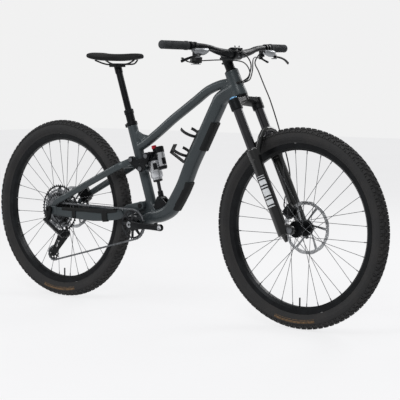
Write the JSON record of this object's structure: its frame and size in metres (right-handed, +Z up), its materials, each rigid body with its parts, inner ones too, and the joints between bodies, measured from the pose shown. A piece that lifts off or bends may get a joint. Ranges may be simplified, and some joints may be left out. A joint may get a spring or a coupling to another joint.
{
  "type": "mountain bike",
  "caption": "Full suspension trail mountain bike with telescopic fork, rocker-link rear suspension, disc brakes, rear derailleur, dropper seat post and bottle cage.",
  "frame": {"origin": "on the ground under the middle of the box round the bike, midway between the two axles", "axes": "+X forward along the bike, +Y to the rider's left (the side away from the chain), +Z up"},
  "size_m": [1.958, 0.7842, 1.0609],
  "materials": {
    "frame_paint": "satin",
    "black_metal": "satin",
    "gloss_black": "gloss",
    "guard_plastic": "matte",
    "black_plastic": "satin",
    "stanchion_coat": "polished",
    "grey_alloy": "satin",
    "silver_alloy": "brushed",
    "steel": "brushed",
    "dark_steel": "satin",
    "tyre": "matte",
    "grip_rubber": "matte",
    "hose_rubber": "satin",
    "dial_blue": "satin",
    "saddle_cover": "satin"
  },
  "bodies": {
    "frame": {"head_tube": "frame_paint", "top_tube": "frame_paint", "down_tube": "frame_paint", "seat_tube": "frame_paint", "bottom_bracket_shell": "frame_paint", "bearing_cups": "black_metal", "shock_mount": "black_metal", "down_tube_guards": "guard_plastic", "bottle_cage": "black_plastic", "seat_clamp": "black_metal", "dropper_outer": "black_metal"},
    "steering": {"fork_crown": "gloss_black", "stanchions": "stanchion_coat", "stem": "black_metal", "stem_faceplate": "black_metal", "headset_spacers": "black_metal", "handlebar": "black_metal", "grips": "grip_rubber", "brake_bodies": "grey_alloy", "shifter_pod": "black_plastic", "dropper_remote": "black_plastic", "control_cables": "hose_rubber"},
    "damper_dial": {"damper_dial": "dial_blue"},
    "brake_lever_left": {"brake_lever_left": "black_metal"},
    "brake_lever_right": {"brake_lever_right": "black_metal"},
    "shift_paddle": {"shift_paddle": "black_plastic"},
    "dropper_lever": {"dropper_lever": "black_plastic"},
    "fork_lowers": {"fork_lowers": "gloss_black", "front_axle": "steel", "front_caliper": "black_metal"},
    "front_wheel": {"front_tyre": "tyre", "front_rim": "black_metal", "front_spokes": "steel", "front_hub": "black_metal", "front_rotor": "steel"},
    "swingarm": {"chainstay_yoke": "frame_paint", "chainstays": "frame_paint", "rear_axle": "black_metal", "derailleur_mount": "black_metal", "chain": "steel"},
    "rear_wheel": {"rear_tyre": "tyre", "rear_rim": "black_metal", "rear_spokes": "steel", "rear_hub": "black_metal", "rear_rotor": "steel"},
    "cassette": {"cassette": "dark_steel"},
    "seatstay": {"seatstays": "frame_paint", "rear_caliper": "black_metal"},
    "rocker": {"rocker_links": "black_metal", "rocker_pins": "steel"},
    "shock_can": {"shock_can": "silver_alloy"},
    "shock_shaft": {"shock_shaft": "black_metal"},
    "crankset": {"crankset": "black_metal"},
    "derailleur_link": {"derailleur_link": "black_metal"},
    "derailleur_knuckle": {"derailleur_knuckle": "black_metal"},
    "derailleur_cage": {"derailleur_cage": "black_metal"},
    "guide_pulley": {"guide_pulley": "black_plastic"},
    "tension_pulley": {"tension_pulley": "black_plastic"},
    "dropper_post": {"dropper_post": "black_metal", "saddle": "saddle_cover"}
  },
  "joints": [
    {"name": "steering", "type": "hinge", "parent": "frame", "child": "steering", "pos_m": [0.56529, 0, 0.35506], "axis": [-0.4305, 0, 0.9026], "range_deg": [-55, 55], "deforming": ["control_cables"]},
    {"name": "fork_travel", "type": "slide", "parent": "steering", "child": "fork_lowers", "axis": [-0.4305, 0, 0.9026], "range_m": [0, 0.15], "stiffness_N_per_m": 5000, "deforming": ["control_cables"]},
    {"name": "front_wheel_spin", "type": "hinge", "parent": "fork_lowers", "child": "front_wheel", "pos_m": [0.605, 0, 0.374], "axis": [0, 1, 0], "continuous": true},
    {"name": "damper_dial_turn", "type": "hinge", "parent": "steering", "child": "damper_dial", "pos_m": [0.34407, -0.068, 0.84672], "axis": [-0.4305, 0, 0.9026], "range_deg": [-90, 90]},
    {"name": "brake_lever_left_pull", "type": "hinge", "parent": "steering", "child": "brake_lever_left", "pos_m": [0.31345, 0.2393, 1.00928], "axis": [0, 0, 1], "range_deg": [0, 20], "stiffness_Nm_per_rad": 0.5},
    {"name": "brake_lever_right_pull", "type": "hinge", "parent": "steering", "child": "brake_lever_right", "pos_m": [0.31345, -0.2393, 1.00928], "axis": [0, 0, -1], "range_deg": [0, 20], "stiffness_Nm_per_rad": 0.5},
    {"name": "shift_paddle_push", "type": "hinge", "parent": "steering", "child": "shift_paddle", "pos_m": [0.28235, -0.21749, 0.98303], "axis": [0, 0.1736, 0.9848], "range_deg": [-25, 0], "stiffness_Nm_per_rad": 0.3},
    {"name": "dropper_lever_push", "type": "hinge", "parent": "steering", "child": "dropper_lever", "pos_m": [0.27035, 0.20549, 1.00303], "axis": [0, 0, 1], "range_deg": [0, 20], "stiffness_Nm_per_rad": 0.3},
    {"name": "main_pivot", "type": "hinge", "parent": "frame", "child": "swingarm", "pos_m": [-0.145, 0, 0.415], "axis": [0, 1, 0], "range_deg": [0, 17.4], "stiffness_Nm_per_rad": 1900, "deforming": ["chain"]},
    {"name": "rocker_pivot", "type": "hinge", "parent": "frame", "child": "rocker", "pos_m": [-0.14, 0, 0.564], "axis": [0, 1, 0], "range_deg": [0, 55.9]},
    {"name": "seatstay_pivot", "type": "hinge", "parent": "rocker", "child": "seatstay", "pos_m": [-0.19, 0, 0.598], "axis": [0, 1, 0], "range_deg": [-41.6, 0]},
    {"name": "shock_can_pivot", "type": "hinge", "parent": "rocker", "child": "shock_can", "pos_m": [-0.11, 0, 0.616], "axis": [0, 1, 0], "range_deg": [-47, 0]},
    {"name": "shock_shaft_pivot", "type": "hinge", "parent": "frame", "child": "shock_shaft", "pos_m": [-0.064, 0, 0.444], "axis": [0, 1, 0], "range_deg": [0, 9]},
    {"name": "rear_wheel_spin", "type": "hinge", "parent": "swingarm", "child": "rear_wheel", "pos_m": [-0.605, 0, 0.374], "axis": [0, 1, 0], "continuous": true},
    {"name": "cassette_spin", "type": "hinge", "parent": "swingarm", "child": "cassette", "pos_m": [-0.605, 0, 0.374], "axis": [0, 1, 0], "continuous": true},
    {"name": "crank_spin", "type": "hinge", "parent": "frame", "child": "crankset", "pos_m": [-0.169, 0, 0.34], "axis": [0, 1, 0], "continuous": true, "deforming": ["chain"]},
    {"name": "derailleur_link_swing", "type": "hinge", "parent": "swingarm", "child": "derailleur_link", "pos_m": [-0.615, -0.094, 0.332], "axis": [0.3719, 0.7068, 0.6018], "range_deg": [-5, 20], "deforming": ["chain"]},
    {"name": "derailleur_knuckle_swing", "type": "hinge", "parent": "derailleur_link", "child": "derailleur_knuckle", "pos_m": [-0.526, -0.094, 0.277], "axis": [0.3719, 0.7068, 0.6018], "range_deg": [-20, 5]},
    {"name": "derailleur_cage_swing", "type": "hinge", "parent": "derailleur_knuckle", "child": "derailleur_cage", "pos_m": [-0.526, 0, 0.277], "axis": [0, 1, 0], "range_deg": [-45, 10], "stiffness_Nm_per_rad": 1, "deforming": ["chain"]},
    {"name": "guide_pulley_spin", "type": "hinge", "parent": "derailleur_cage", "child": "guide_pulley", "pos_m": [-0.568, 0, 0.266], "axis": [0, 1, 0], "continuous": true},
    {"name": "tension_pulley_spin", "type": "hinge", "parent": "derailleur_cage", "child": "tension_pulley", "pos_m": [-0.612, 0, 0.186], "axis": [0, 1, 0], "continuous": true},
    {"name": "dropper_travel", "type": "slide", "parent": "frame", "child": "dropper_post", "axis": [-0.3156, 0, 0.9489], "range_m": [-0.15, 0], "stiffness_N_per_m": 200, "springref_m": 0.3}
  ],
  "couplings": [
    {"joint": "rocker_pivot", "follows": "main_pivot", "ratio": 3.2109},
    {"joint": "seatstay_pivot", "follows": "main_pivot", "ratio": -2.388},
    {"joint": "shock_can_pivot", "follows": "main_pivot", "ratio": -2.6986},
    {"joint": "shock_shaft_pivot", "follows": "main_pivot", "ratio": 0.5141},
    {"joint": "cassette_spin", "follows": "crank_spin", "ratio": 2.1429},
    {"joint": "guide_pulley_spin", "follows": "crank_spin", "ratio": -2.5},
    {"joint": "tension_pulley_spin", "follows": "crank_spin", "ratio": 2.1429},
    {"joint": "derailleur_knuckle_swing", "follows": "derailleur_link_swing", "ratio": -1}
  ]
}
